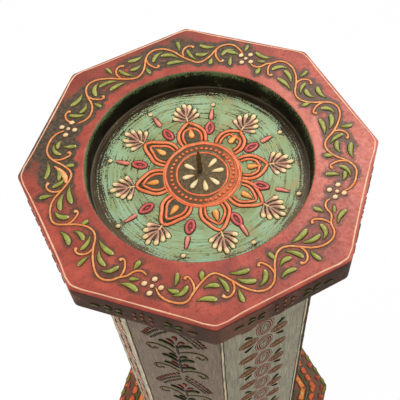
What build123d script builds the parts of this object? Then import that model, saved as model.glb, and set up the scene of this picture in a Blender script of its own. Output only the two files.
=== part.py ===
"""Pricket candle holder: an eight-sided dish plate on a hollow stave column and a wider base.

Sizes are in millimetres. +Z is up, and the origin is the centre of the footprint, on the surface
that the felt pads stand on. The flats of the dish plate face +X, -X, +Y, -Y and between them.
"""

import os
from math import cos, radians, sin, tan

from build123d import *

# ---- Dish plate ---------------------------------------------------------------------------
PLATE_FLATS = 122.0  # across the flats
PLATE_THICK = 13.5
DISH_RIM_RADIUS = 41.6
DISH_WALL_LEAN = 0.8  # how far the wall comes in from the rim to the floor
DISH_DEPTH = 8.5
DISH_LIP_RADIUS = 0.8  # rounding where the wall meets the top
CORNER_RADIUS = 2.5  # rounding of both plates' upright edges
ARRIS_RADIUS = 0.7  # rounding of their top and bottom edges

# ---- Spike --------------------------------------------------------------------------------
SPIKE_RADIUS = 1.0
SPIKE_RISE = 13.2  # from the dish floor to the point
SPIKE_POINT_LENGTH = 5.0
SPIKE_POINT_RADIUS = 0.25
SPIKE_GRIP_RADIUS = 1.25  # over the barbs, on the part of the shank that is in the wood
SPIKE_HEAD_RADIUS = 3.0
SPIKE_HEAD_THICK = 1.2

# ---- Column -------------------------------------------------------------------------------
COLUMN_FLATS = 95.0
COLUMN_LENGTH = 277.0
STAVE_COUNT = 8
STAVE_THICK = 10.0
COLUMN_TURN = 2.0  # degrees: the column was set by hand, a little off the plate

# ---- Blocks inside the column ---------------------------------------------------------------
TOP_BLOCK_THICK = 13.0
BOTTOM_BLOCK_THICK = 20.0
GLUE_GAP = 0.05  # all round a block

# ---- Base ---------------------------------------------------------------------------------
BASE_FLATS = 136.0
BASE_THICK = 14.0
BASE_TURN = 1.0  # degrees

# ---- Screws -------------------------------------------------------------------------------
SCREW_COUNT = 4
SCREW_RADIUS = 1.75
SCREW_HEAD_RADIUS = 3.4
SCREW_HEAD_THICK = 2.1
SCREW_TIP_LENGTH = 3.0
SCREW_TIP_RADIUS = 0.3
SCREW_INSET = 0.4  # how far a head lies under the surface
CROSS_WIDTH = 0.9  # the driver's cross in the head
CROSS_LENGTH = 3.8
CROSS_DEPTH = 1.2
TOP_SCREW_COVER = 1.5  # wood left between a screw's tip and the dish floor
TOP_SCREW_CIRCLE = 24.0  # radius of the ring that the screws stand on
BASE_SCREW_BITE = 14.0  # how far a screw goes into the bottom block
BASE_SCREW_CIRCLE = 22.0

# ---- Felt pads ----------------------------------------------------------------------------
PAD_COUNT = 4
PAD_RADIUS = 10.0
PAD_THICK = 2.0
PAD_EDGE_GAP = 6.0  # from a pad to the base's flat

# ---- Heights, radii and lengths that follow -------------------------------------------------
BASE_BOTTOM = PAD_THICK
BASE_TOP = BASE_BOTTOM + BASE_THICK
COLUMN_TOP = BASE_TOP + COLUMN_LENGTH
PLATE_TOP = COLUMN_TOP + PLATE_THICK
DISH_FLOOR = PLATE_TOP - DISH_DEPTH
SPIKE_POINT = DISH_FLOOR + SPIKE_RISE
DISH_FLOOR_RADIUS = DISH_RIM_RADIUS - DISH_WALL_LEAN
HOLLOW_FLATS = COLUMN_FLATS - 2 * STAVE_THICK
BLOCK_FLATS = HOLLOW_FLATS - 2 * GLUE_GAP
HALF_STEP = 180 / STAVE_COUNT  # degrees from the middle of a flat to its corner
TOP_HEADS = COLUMN_TOP - TOP_BLOCK_THICK + SCREW_INSET
BASE_HEADS = BASE_BOTTOM + SCREW_INSET
TOP_SCREW_LENGTH = DISH_FLOOR - TOP_SCREW_COVER - TOP_HEADS
BASE_SCREW_LENGTH = BASE_TOP + BASE_SCREW_BITE - BASE_HEADS
PAD_CIRCLE = BASE_FLATS / 2 - PAD_EDGE_GAP - PAD_RADIUS


# ---- Shapes that the parts share ------------------------------------------------------------
def slab(flats, thick, bottom, turn=0.0):
    """An octagonal board with sharp edges."""
    outline = RegularPolygon(flats / 2, STAVE_COUNT, major_radius=False, rotation=HALF_STEP + turn)
    return Pos(0, 0, bottom) * extrude(outline, thick)


def board(flats, thick, bottom, turn=0.0):
    """An octagonal board with its upright edges and its arrises rounded."""
    shape = slab(flats, thick, bottom, turn)
    shape = fillet(shape.edges().filter_by(Axis.Z), CORNER_RADIUS)
    levels = shape.edges().group_by(Axis.Z)
    return fillet(levels[0] + levels[-1], min(ARRIS_RADIUS, thick / 4))


def turned(profile):
    """A solid of revolution about +Z from its half profile of (radius, height) points."""
    outline = Polyline(*[(radius, 0, height) for radius, height in profile], close=True)
    return revolve(make_face(outline), Axis.Z)


def ring_of_points(count, radius, turn):
    """Points evenly spaced on a circle, the first one half a step round from +X."""
    angles = [radians(turn + (step + 0.5) * 360 / count) for step in range(count)]
    return [(radius * cos(angle), radius * sin(angle)) for angle in angles]


# ---- Screws -------------------------------------------------------------------------------
def screw_profile(length):
    """Half profile of a countersunk screw with the top of its head at z = 0 and its point down."""
    return [
        (0, 0),
        (SCREW_HEAD_RADIUS, 0),
        (SCREW_RADIUS, -SCREW_HEAD_THICK),
        (SCREW_RADIUS, SCREW_TIP_LENGTH - length),
        (SCREW_TIP_RADIUS, -length),
        (0, -length),
    ]


def screw(length):
    """A countersunk wood screw with a driver's cross in its head."""
    shape = turned(screw_profile(length))
    for spin in (0, 90):
        shape -= Rot(0, 0, spin) * Box(CROSS_LENGTH, CROSS_WIDTH, 2 * CROSS_DEPTH)
    return shape


def screw_hole(length):
    """The hole that the screw has cut for itself, with a mouth open to the surface."""
    mouth = Pos(0, 0, SCREW_INSET / 2) * Cylinder(SCREW_HEAD_RADIUS, SCREW_INSET)
    return turned(screw_profile(length)) + mouth


def on_ring(shape, radius, height):
    """Copies of a screw, or of its hole, on their ring, driven upwards from a height."""
    spots = ring_of_points(SCREW_COUNT, radius, COLUMN_TURN)
    return [Pos(x, y, height) * Rot(180, 0, 0) * shape for x, y in spots]


def top_screw_ring(make):
    return on_ring(make(TOP_SCREW_LENGTH), TOP_SCREW_CIRCLE, TOP_HEADS)


def base_screw_ring(make):
    return on_ring(make(BASE_SCREW_LENGTH), BASE_SCREW_CIRCLE, BASE_HEADS)


# ---- Parts --------------------------------------------------------------------------------
def spike():
    """The nail that holds the candle: its head in the underside of the plate, its point up."""
    head_top = COLUMN_TOP + SPIKE_HEAD_THICK
    return turned(
        [
            (0, COLUMN_TOP),
            (SPIKE_HEAD_RADIUS, COLUMN_TOP),
            (SPIKE_HEAD_RADIUS, head_top),
            (SPIKE_GRIP_RADIUS, head_top),
            (SPIKE_GRIP_RADIUS, DISH_FLOOR),
            (SPIKE_RADIUS, DISH_FLOOR),
            (SPIKE_RADIUS, SPIKE_POINT - SPIKE_POINT_LENGTH),
            (SPIKE_POINT_RADIUS, SPIKE_POINT),
            (0, SPIKE_POINT),
        ]
    )


def dish():
    """What the lathe takes out of the plate."""
    return turned(
        [(0, DISH_FLOOR), (DISH_FLOOR_RADIUS, DISH_FLOOR), (DISH_RIM_RADIUS, PLATE_TOP), (0, PLATE_TOP)]
    )


def top_plate():
    """The board with its turned dish, the spike's hole and four blind screw holes."""
    plate = board(PLATE_FLATS, PLATE_THICK, COLUMN_TOP) - dish()
    rim = plate.edges().filter_by(GeomType.CIRCLE).sort_by(SortBy.RADIUS)[-1]
    plate = fillet(rim, min(DISH_LIP_RADIUS, DISH_DEPTH / 4))
    for hole in [spike(), *top_screw_ring(screw_hole)]:
        plate -= hole
    return plate


def stave(number):
    """One mitred board of the column, counted anticlockwise from the flat nearest to +X."""
    outside = COLUMN_FLATS / 2
    inside = HOLLOW_FLATS / 2
    slope = tan(radians(HALF_STEP))
    corners = [(outside, outside * slope), (inside, inside * slope)]
    mirrored = [(x, -y) for x, y in reversed(corners)]
    section = make_face(Polyline(*corners, *mirrored, close=True))
    turn = COLUMN_TURN + (number - 1) * 2 * HALF_STEP
    return Rot(0, 0, turn) * Pos(0, 0, BASE_TOP) * extrude(section, COLUMN_LENGTH)


def top_block():
    """The block under the plate. The staves are glued round it."""
    block = slab(BLOCK_FLATS, TOP_BLOCK_THICK, COLUMN_TOP - TOP_BLOCK_THICK, COLUMN_TURN)
    for hole in top_screw_ring(screw_hole):
        block -= hole
    return block


def bottom_block():
    """The block in the foot of the column, which the base is screwed to."""
    block = slab(BLOCK_FLATS, BOTTOM_BLOCK_THICK, BASE_TOP, COLUMN_TURN)
    for hole in base_screw_ring(screw_hole):
        block -= hole
    return block


def base_plate():
    """The wider board that the column stands on."""
    plate = board(BASE_FLATS, BASE_THICK, BASE_BOTTOM, BASE_TURN)
    for hole in base_screw_ring(screw_hole):
        plate -= hole
    return plate


def foot_pad(number):
    """One felt pad, by the middle of a slanting flat of the base."""
    x, y = ring_of_points(PAD_COUNT, PAD_CIRCLE, BASE_TURN)[number - 1]
    return Pos(x, y, PAD_THICK / 2) * Cylinder(PAD_RADIUS, PAD_THICK)


def build():
    """Every sub-part by its name."""
    nodes = {
        "top_plate": top_plate(),
        "spike": spike(),
        "top_block": top_block(),
        "top_screws": Compound(top_screw_ring(screw)),
        "bottom_block": bottom_block(),
        "base_plate": base_plate(),
        "base_screws": Compound(base_screw_ring(screw)),
    }
    nodes |= {f"stave_{number}": stave(number) for number in range(1, STAVE_COUNT + 1)}
    nodes |= {f"foot_pad_{number}": foot_pad(number) for number in range(1, PAD_COUNT + 1)}
    return nodes


os.makedirs("parts", exist_ok=True)
for name, shape in build().items():
    export_step(shape, f"parts/{name}.step")
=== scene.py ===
# %% [markdown]
# # A hand-painted pricket candle holder
#
# The wooden parts of this candle holder come from a finished construction model. This lesson gives them
# their looks: brushed paint, and ornament that was squeezed onto the wood as raised lines of thick paint,
# the way a cake is iced. Every raised stroke here is real geometry, because it catches the light and casts
# a small shadow, which a bump in a material can't do at the edge of a stroke.
#
# The first cell loads the construction. It is in metres, with Z up and the origin under the middle of the
# foot, and nothing in it is moved.

# %% The construction
import random
from math import atan2, cos, degrees, exp, pi, radians, sin, tan, tanh

import bmesh
import bpy
from mathutils import Matrix, Vector, kdtree


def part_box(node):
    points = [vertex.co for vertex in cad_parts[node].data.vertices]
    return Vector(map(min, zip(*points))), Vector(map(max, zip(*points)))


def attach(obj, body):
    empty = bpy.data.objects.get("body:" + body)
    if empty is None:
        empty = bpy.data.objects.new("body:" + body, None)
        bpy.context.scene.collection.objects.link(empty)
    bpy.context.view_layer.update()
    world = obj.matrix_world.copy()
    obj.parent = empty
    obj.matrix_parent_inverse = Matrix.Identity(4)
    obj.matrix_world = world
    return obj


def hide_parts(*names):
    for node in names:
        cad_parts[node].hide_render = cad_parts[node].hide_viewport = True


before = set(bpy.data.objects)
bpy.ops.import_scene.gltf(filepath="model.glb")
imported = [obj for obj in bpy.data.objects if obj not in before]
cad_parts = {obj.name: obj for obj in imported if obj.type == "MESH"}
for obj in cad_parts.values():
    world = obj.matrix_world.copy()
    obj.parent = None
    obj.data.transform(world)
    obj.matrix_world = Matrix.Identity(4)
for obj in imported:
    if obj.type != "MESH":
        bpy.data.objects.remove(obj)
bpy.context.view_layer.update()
MM = 0.001

# %% [markdown]
# ## The sizes that the ornament follows
#
# Heights and widths are read from the construction, so the ornament stays on the wood if a board changes.
# Only what a box can't tell, such as the round dish inside the square-cornered box of its board, is written
# here. All these values are in millimetres, because that is how a painter would measure the work.

# %% Sizes in millimetres
plate_low, plate_high = (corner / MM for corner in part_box("top_plate"))
base_low, base_high = (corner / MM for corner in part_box("base_plate"))
stave_low, stave_high = (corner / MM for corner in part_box("stave_1"))

PLATE_REACH = plate_high.x  # from the middle to a flat
PLATE_TOP = plate_high.z
PLATE_BOTTOM = plate_low.z
COLUMN_LENGTH = stave_high.z - stave_low.z
COLUMN_TURN = 2.0  # degrees that the column was set off the plate
COLUMN_REACH = 47.5
BASE_TURN = 1.0
BASE_REACH = 68.0
BASE_TOP = base_high.z
DISH_FLOOR = PLATE_TOP - 8.5
DISH_FLOOR_RADIUS = 40.8
DISH_RIM_RADIUS = 41.6
DISH_LIP = 0.8
FACES = 8
STEP = 360 / FACES
HALF_STEP = STEP / 2
CORNER_ROUNDING = 2.5
ARRIS = 0.7
print("plate", PLATE_REACH * 2, "dish floor", DISH_FLOOR, "column", COLUMN_LENGTH)

# %% [markdown]
# ## Colours and node wiring
#
# A painter thinks in mixed colours, and a colour is easiest to read as three numbers from 0 to 255. Blender
# works with linear light, so `tint` converts them.

# %% Mixed colours
def tint(red, green, blue):
    """A colour as it looks on screen, turned into linear light."""
    def linear(value):
        value /= 255
        return value / 12.92 if value <= 0.04045 else ((value + 0.055) / 1.055) ** 2.4
    return (linear(red), linear(green), linear(blue), 1)


print("brick red in linear light", [round(value, 3) for value in tint(172, 62, 54)])

# %% [markdown]
# `Wiring` is a small helper that adds a node, sets its inputs and returns its output, so that each paint
# below reads like a recipe. A `Reading` is one such output, a number that differs from spot to spot, and
# plain sums with it add math nodes.

# %% Wiring
class Reading:
    """A number that a paint works out at every spot."""

    def __init__(self, wiring, socket):
        self.wiring = wiring
        self.socket = socket

    def __add__(self, other):
        return self.wiring.maths("ADD", self, other)

    def __sub__(self, other):
        return self.wiring.maths("SUBTRACT", self, other)

    def __mul__(self, other):
        return self.wiring.maths("MULTIPLY", self, other)

    def __abs__(self):
        return self.wiring.maths("ABSOLUTE", self)


class Wiring:
    """Adds nodes to one material and joins them."""

    def __init__(self, name, roughness, sheen=0.3):
        self.material = bpy.data.materials.new(name)
        self.material.use_nodes = True
        self.tree = self.material.node_tree
        self.shader = self.tree.nodes["Principled BSDF"]
        self.shader.inputs["Roughness"].default_value = roughness
        self.shader.inputs["Specular IOR Level"].default_value = sheen
        self.place = self.add("ShaderNodeTexCoord").outputs["Object"]
        split = self.add("ShaderNodeSeparateXYZ", Vector=self.place)
        self.x, self.y, self.z = (Reading(self, socket) for socket in split.outputs)

    def add(self, kind, settings=None, **inputs):
        node = self.tree.nodes.new(kind)
        for key, value in (settings or {}).items():
            setattr(node, key, value)
        for key, value in inputs.items():
            self.join(value, node.inputs[key])
        return node

    def join(self, value, socket):
        if isinstance(value, Reading):
            value = value.socket
        if isinstance(value, bpy.types.NodeSocket):
            self.tree.links.new(value, socket)
        else:
            socket.default_value = value

    def maths(self, operation, *values):
        node = self.add("ShaderNodeMath", {"operation": operation})
        for value, socket in zip(values, node.inputs):
            self.join(value, socket)
        return Reading(self, node.outputs[0])

    def fade(self, value, start, end, low=0.0, high=1.0):
        """A smooth step from low to high as value goes from start to end."""
        node = self.add("ShaderNodeMapRange", {"interpolation_type": "SMOOTHSTEP"}, Value=value)
        for key, number in (("From Min", start), ("From Max", end), ("To Min", low), ("To Max", high)):
            node.inputs[key].default_value = number
        return Reading(self, node.outputs[0])

    def noise(self, size, detail=4.0, stretch=(1, 1, 1), roughness=0.55, place=None):
        """Cloudy values about 0.5, with lumps about size millimetres across."""
        scaled = self.add("ShaderNodeMapping", Vector=place or self.place, Scale=stretch)
        settings = {"Scale": 1 / (size * MM), "Detail": detail, "Roughness": roughness}
        node = self.add("ShaderNodeTexNoise", Vector=scaled.outputs[0], **settings)
        return Reading(self, node.outputs["Fac"])

    def mix(self, share, first, second):
        """first where share is 0 and second where it is 1. Each is a mixed colour or three numbers."""
        node = self.add("ShaderNodeMix", {"data_type": "RGBA"})
        for number, value in ((0, share), (6, first), (7, second)):
            self.join(tint(*value) if isinstance(value, tuple) else value, node.inputs[number])
        return node.outputs[2]

    def radius(self):
        """Distance from the upright axis, and the angle round it."""
        flat = self.add("ShaderNodeCombineXYZ", X=self.x, Y=self.y)
        length = self.add("ShaderNodeVectorMath", {"operation": "LENGTH"}, Vector=flat.outputs[0])
        return Reading(self, length.outputs["Value"]), self.maths("ARCTAN2", self.y, self.x)

    def attribute(self, name):
        return Reading(self, self.add("ShaderNodeAttribute", {"attribute_name": name}).outputs["Fac"])

    def finish(self, colour, bump=None, height=0.1, roughness=None, sheen=None):
        """Joins the colour, and whatever else is given, to the shader. height is in millimetres."""
        for value, name in ((colour, "Base Color"), (sheen, "Specular IOR Level"), (roughness, "Roughness")):
            if value is not None:
                self.join(value, self.shader.inputs[name])
        if bump is not None:
            node = self.add("ShaderNodeBump", Height=bump, Distance=height * MM, Strength=1)
            self.tree.links.new(node.outputs[0], self.shader.inputs["Normal"])
        return self.material


print("paint helpers ready")

# %% [markdown]
# ## Squeezing strokes onto the wood
#
# A raised stroke is a thread of thick paint: narrow at its ends, wider in its body and nearly flat on top
# where it is wide. A bevelled curve is the quickest way to get one, because a point's radius sets the width
# of the thread there. After that the round thread is pressed: whatever stands higher than the paint is
# thick is eased down, and the half below the surface is cut to a thin foot.
#
# Each stroke is a list of (x, y, half width) points on a flat sheet in millimetres, and `place` lays that
# sheet on a face of the object.

# %% Strokes
FOOT_DEPTH = 0.12  # how far a stroke's foot goes into the wood


def show(name, data):
    """Puts an object in the scene."""
    made = bpy.data.objects.new(name, data)
    bpy.context.scene.collection.objects.link(made)
    return made


def thread(strokes, smoothness, sides, closed):
    """One mesh of round threads, one for each stroke, from a bevelled curve."""
    curve = bpy.data.curves.new("thread", "CURVE")
    curve.dimensions = "3D"
    curve.bevel_depth = 1
    curve.bevel_resolution = sides
    curve.use_fill_caps = True
    curve.resolution_u = smoothness
    for stroke in strokes:
        spline = curve.splines.new("BEZIER")
        spline.bezier_points.add(len(stroke) - 1)
        spline.radius_interpolation = "CARDINAL"
        spline.use_cyclic_u = closed
        for knot, (x, y, half) in zip(spline.bezier_points, stroke):
            knot.co = (x, y, 0)
            knot.radius = half
            knot.handle_left_type = "AUTO"
            knot.handle_right_type = "AUTO"
    holder = show("thread", curve)
    mesh = bpy.data.meshes.new_from_object(holder.evaluated_get(bpy.context.evaluated_depsgraph_get()))
    bpy.data.objects.remove(holder)
    bpy.data.curves.remove(curve)
    return mesh


def press(vertex, thickness):
    """Presses one point of a round thread to the paint's thickness, with its foot in the surface."""
    height = vertex.co.z
    vertex.co.z = thickness * tanh(height / thickness) if height > 0 else max(height, -FOOT_DEPTH)


def squeeze(name, sheets, material, thickness, smoothness=3, sides=2, closed=False):
    """A piece made of raised strokes. sheets is a list of (strokes, place) pairs."""
    whole = bmesh.new()
    for strokes, place in sheets:
        part = thread(strokes, smoothness, sides, closed)
        grown = bmesh.new()
        grown.from_mesh(part)
        bmesh.ops.remove_doubles(grown, verts=grown.verts, dist=0.0005)
        rise = grown.verts.layers.float.new("rise")
        along = grown.verts.layers.float.new("along")
        uv = grown.loops.layers.uv.active
        for vertex in grown.verts:
            press(vertex, thickness)
            vertex[rise] = max(0.0, vertex.co.z / thickness)
            vertex[along] = next(loop[uv].uv.x for loop in vertex.link_loops if len(loop.face.verts) == 4)
        bmesh.ops.transform(grown, matrix=place, verts=grown.verts)
        grown.to_mesh(part)
        whole.from_mesh(part)
        grown.free()
        bpy.data.meshes.remove(part)
    return settle(name, whole, material)


print("strokes are pressed", FOOT_DEPTH, "mm into the wood")

# %% [markdown]
# Every piece is finished the same way: it becomes a smooth mesh with one paint, and rides on the wooden body.
# Two sheets are enough to draw on, a level one and an upright one.

# %% Pieces and sheets
def settle(name, shape, material):
    """Turns a finished bmesh into a piece of the object."""
    mesh = bpy.data.meshes.new(name)
    shape.to_mesh(mesh)
    shape.free()
    mesh.polygons.foreach_set("use_smooth", [True] * len(mesh.polygons))
    mesh.materials.append(material)
    piece = show(name, mesh)
    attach(piece, "root")
    print(name, len(mesh.polygons), "faces")
    return piece


def flat_at(height):
    """Lays a sheet flat on a level surface."""
    return Matrix.Diagonal((MM, MM, MM, 1)) @ Matrix.Translation((0, 0, height))


def upright_at(angle, reach, height):
    """Lays a sheet on an upright face: its x runs to the right and its y up, seen from outside."""
    turn = radians(angle)
    outward = Vector((cos(turn), sin(turn), 0))
    right = Vector((-sin(turn), cos(turn), 0))
    axes = Matrix((right, Vector((0, 0, 1)), outward)).transposed().to_4x4()
    axes.translation = outward * reach + Vector((0, 0, height))
    return Matrix.Diagonal((MM, MM, MM, 1)) @ axes


print("a sheet at 90 degrees faces", [round(value) for value in upright_at(90, 1, 0).col[2].xyz / MM])

# %% [markdown]
# A painter's leaf or drop is one press of the brush: it lands fat, then is pulled away to a point. `drop`
# makes one from its fat end to its point, with a bow to one side. `bead` is a dot, and `line` is a thread
# of one width that thins at its ends.

# %% Drops, beads and lines
def drop(head, tip, half, bow=0.0, widths=(0.3, 0.85, 1.0, 0.72, 0.15)):
    """A stroke that starts fat at head and thins to tip, bowed to the left of its way by bow."""
    (x0, y0), (x1, y1) = head, tip
    length = ((x1 - x0) ** 2 + (y1 - y0) ** 2) ** 0.5
    side_x, side_y = -(y1 - y0) / length, (x1 - x0) / length
    stroke = []
    for share, width in zip((0.0, 0.09, 0.32, 0.66, 1.0), widths):
        aside = bow * 4 * share * (1 - share)
        x = x0 + (x1 - x0) * share + side_x * aside
        y = y0 + (y1 - y0) * share + side_y * aside
        stroke.append((x, y, half * width))
    return stroke


def lobe(head, tip, half, bow=0.0):
    """A fuller stroke than a drop, with a blunt end."""
    return drop(head, tip, half, bow, (0.35, 0.92, 1.0, 0.85, 0.5))


def bead(x, y, half):
    """A round dot."""
    spots = ((-1, 0.3), (-0.5, 0.87), (0.5, 0.87), (1, 0.3))
    return [(x + half * share, y, half * width) for share, width in spots]


def line(points, half, start=0.6, end=0.6):
    """A thread through points. start and end are its widths there over its width between."""
    widths = [half * start] + [half] * (len(points) - 2) + [half * end]
    return [(x, y, width) for (x, y), width in zip(points, widths)]


def wider(strokes, margin):
    """The same strokes, wider all round, for the dark wash that lies about each one."""
    return [[(x, y, half + margin) for x, y, half in stroke] for stroke in strokes]


print("a leaf:", [tuple(round(value, 2) for value in point) for point in drop((0, 0), (6, 0), 1, 0.5)])

# %% [markdown]
# ## The vine round the rim
#
# The border of the top board carries one vine that waves round the dish. It is painted in four lengths, each
# from one cluster of berries to the next, and each length holds three waves. So one wave is designed on a
# straight strip, with s along the strip and y outwards, and then bent round the board. The same wave comes
# back twelve times, and a small seeded shake keeps the copies from looking stamped.

# %% One wave of the vine
VINE_RADIUS = 51.66
VINE_HALF = 0.42
VINE_LENGTH = 85
WAVE = 28.2
CLUSTERS = (135.6, 41.4, -46.3, -134.0)
STARTS = (16.5, 11.2, 13.0, 11.6)  # where the first full wave of each length begins
STRIDES = (28.1, 29.4, 28.7, 29.2)  # and the length of one wave in it
CLUSTER_SPOTS = ((0, -0.3, 0), (0.3, -0.6, -20), (-0.8, -0.9, 0), (-0.1, 0.7, 0))  # along, out, spin
shaken = random.Random(11)

STEM_WAVE = [(0, 1.6), (2.2, 4.2), (5.5, 5.0), (10.4, 2.5), (14.6, -1.5), (17.9, -4.4), (21.1, -5.2)]
STEM_WAVE.append((25.3, -2.8))
CURL_IN = [(0, 1.6), (-0.1, -0.6), (0.9, -2.9), (2.9, -4.4), (3.7, -3.4)]
CURL_OUT = [(14.9, -1.5), (14.7, 0.8), (15.9, 3.0), (18.0, 3.8), (19.2, 2.9)]
LEAVES = {
    "a": ((2.4, -1.2), (7.0, 2.8), 0.9, 1.1),
    "b": ((6.4, 0.7), (12.9, -2.1), 0.92, 0.8),
    "c": ((7.3, -3.8), (15.6, -4.6), 0.95, 0.4),
    "d": ((13.3, 6.6), (13.4, 2.0), 0.8, 0.2),
    "e": ((17.1, 1.9), (20.1, -3.5), 0.85, -0.8),
    "f": ((19.9, -0.6), (25.4, -0.1), 0.9, -0.9),
    "g": ((21.4, 4.0), (27.9, 3.8), 0.95, -0.9),
    "h": ((-1.5, -6.3), (-1.4, -2.6), 0.88, 0.0),
}
LAST_LEAVES = {
    "b": ((4.9, 0.9), (8.9, 0.2), 0.85, 0.5),
    "c": ((7.0, -5.6), (6.6, -0.8), 0.85, 0.3),
    "d": ((11.0, 6.2), (11.0, 3.0), 0.8, 0.1),
}


def shake(reach):
    return shaken.uniform(-reach, reach)


def bend(stroke, quarter):
    """Bends a stroke from the straight strip round one quarter of the board."""
    start = CLUSTERS[quarter]
    end = CLUSTERS[quarter + 1] if quarter < 3 else CLUSTERS[0] - 360
    bent = []
    for s, y, half in stroke:
        angle = radians(start + (end - start) * s / VINE_LENGTH)
        bent.append(((VINE_RADIUS + y) * cos(angle), (VINE_RADIUS + y) * sin(angle), half))
    return bent


# %% [markdown]
# Each length of vine starts just after one cluster and stops just before the next, so the wave before the
# first and the wave that runs into the next cluster are only partly there.

# %% The whole vine
stems, leaves, berries = [], [], []
for quarter in range(4):
    stride = STRIDES[quarter]
    late = quarter > 0
    stem = [(3.3, -2.4)] + ([(5.4, -3.2), (7.8, -2.4), (9.6, 0.2)] if late else [])
    for wave in range(-1, 3):
        base = STARTS[quarter] + stride * wave
        knots = [(base + s * stride / WAVE + shake(0.3), y + shake(0.25)) for s, y in STEM_WAVE]
        stem += [knot for knot in knots if (10.6 if late else 5) < knot[0] < 79]
        curls = [CURL_IN] * (wave >= 0) + [CURL_OUT] * (0 <= wave < 2 or (wave == -1 and not late))
        for curl in curls:
            stems.append(bend(line([(base + s, y) for s, y in curl], VINE_HALF, 0.8, 1.7), quarter))
        names = {-1: ("efg", "g")[late], 2: "abch" + "d" * (not late)}.get(wave, "abcdefgh")
        for name in names:
            head, tip, half, bow = LAST_LEAVES.get(name, LEAVES[name]) if wave == 2 else LEAVES[name]
            slide = -1.6 if late and name == "h" else 0
            stroke = drop(
                (base + slide + head[0] + shake(0.4), head[1] + shake(0.3)),
                (base + slide + tip[0] + shake(0.4), tip[1] + shake(0.3)),
                half * shaken.uniform(0.95, 1.15),
                bow * shaken.uniform(0.8, 1.2),
            )
            leaves.append(bend(stroke, quarter))
    if late:
        leaves.append(bend(drop((8.2, 0.9), (4.9, -0.2), 0.75, 0.2), quarter))
    stem += [(81.4, 3.4), (83.6, 1.0)]
    stems.append(bend(line(stem, VINE_HALF, 0.7, 0.7), quarter))
    along, out, spin = CLUSTER_SPOTS[quarter]
    for s, y, half in ((-2.9, 0, 1.0), (2.9, 0, 1.0), (0, -2.6, 0.98), (0, 2.6, 1.0), (0, 0, 0.78)):
        turn = radians(spin)
        place = (along + s * cos(turn) - y * sin(turn), out + s * sin(turn) + y * cos(turn), half)
        (x, y, _), = bend([place], quarter)
        berries.append(bead(x + shake(0.15), y + shake(0.15), half))
# One curl of the last length was pressed too hard and ran fat.
stems.append(bend([(58.5, -3.3, 0.5), (61.5, -3.1, 1.1), (64.5, -1.6, 0.9), (67.0, 0.9, 0.3)], 3))
print(len(stems), "threads,", len(leaves), "leaves,", len(berries), "berries")

# %% [markdown]
# The border is closed by one pale line just inside the board's edge. It follows the eight sides and turns
# each corner tightly.

# %% The border line
BORDER_INSET = 1.25
BORDER_HALF = 0.32
BORDER_SHAKE = 0.07
reach = (PLATE_REACH - BORDER_INSET) / cos(radians(HALF_STEP))
border = []
for side in range(FACES):
    behind, ahead = (radians(STEP * side + turn) for turn in (-HALF_STEP, HALF_STEP))
    for share in (0.02, 0.2, 0.4, 0.6, 0.8, 0.98):
        x = reach * (cos(behind) + (cos(ahead) - cos(behind)) * share) + shake(BORDER_SHAKE)
        y = reach * (sin(behind) + (sin(ahead) - sin(behind)) * share) + shake(BORDER_SHAKE)
        border.append((x, y, BORDER_HALF + shake(BORDER_SHAKE)))
print("border line through", len(border), "points")

# %% [markdown]
# ## The flower in the dish
#
# The floor of the dish carries a flower with eight double petals about a beaded ring. It was painted by hand
# from the middle outwards, so its petals don't stand at even angles, and its middle is a little off the
# middle of the dish. Each petal is drawn once, pointing up, and then turned to its own angle.

# %% Petals, ring and centre
FLOWER_X, FLOWER_Y = 0.56, -1.39  # the petals' middle
RING_X, RING_Y = 0.2, -1.55  # and the ring's, a little off it
RING_BEADS = 39
TIP = 24.4  # how far out the first petal ends, which the fans are drawn for
PETALS = (  # angle, and how far out the tip is
    (76.4, TIP), (25.3, 23.7), (-20.1, 24.3), (-60, 25.4),
    (-102.8, 25.2), (-150.9, 25.8), (164, 25.2), (120.3, 26.2),
)
BETWEEN = (  # angle, and how far out the eye, the drop and the dot are
    (99, 22.6, 30.2, 35), (55.5, 21.1, 27.8, 32.5), (3.7, 21.5, 28.4, 34.5), (-43.7, 22.2, 30.1, 36.2),
    (-86.6, 23.4, 28.7, 34.5), (-128.7, 23.2, 29.5, 34.9), (-171.7, 25.2, 32, 37.3), (142, 24.3, 30.9, 35.7),
)
CENTRE_DROPS = (123.5, 168.5, -151.5, -108, -68, -17, 24, 75)


def turned(stroke, angle):
    """Turns a stroke that is drawn pointing up, its y outwards, to an angle about the flower's middle."""
    turn = radians(angle - 90)
    return [
        (FLOWER_X + x * cos(turn) - y * sin(turn), FLOWER_Y + x * sin(turn) + y * cos(turn), half)
        for x, y, half in stroke
    ]


def ring(radius, half, wobble=0.12, points=36):
    """A closed hand-drawn circle."""
    return [
        (
            RING_X + (radius + shake(wobble)) * cos(2 * pi * step / points),
            RING_Y + (radius + shake(wobble)) * sin(2 * pi * step / points),
            half * shaken.uniform(0.85, 1.12),
        )
        for step in range(points)
    ]


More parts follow.
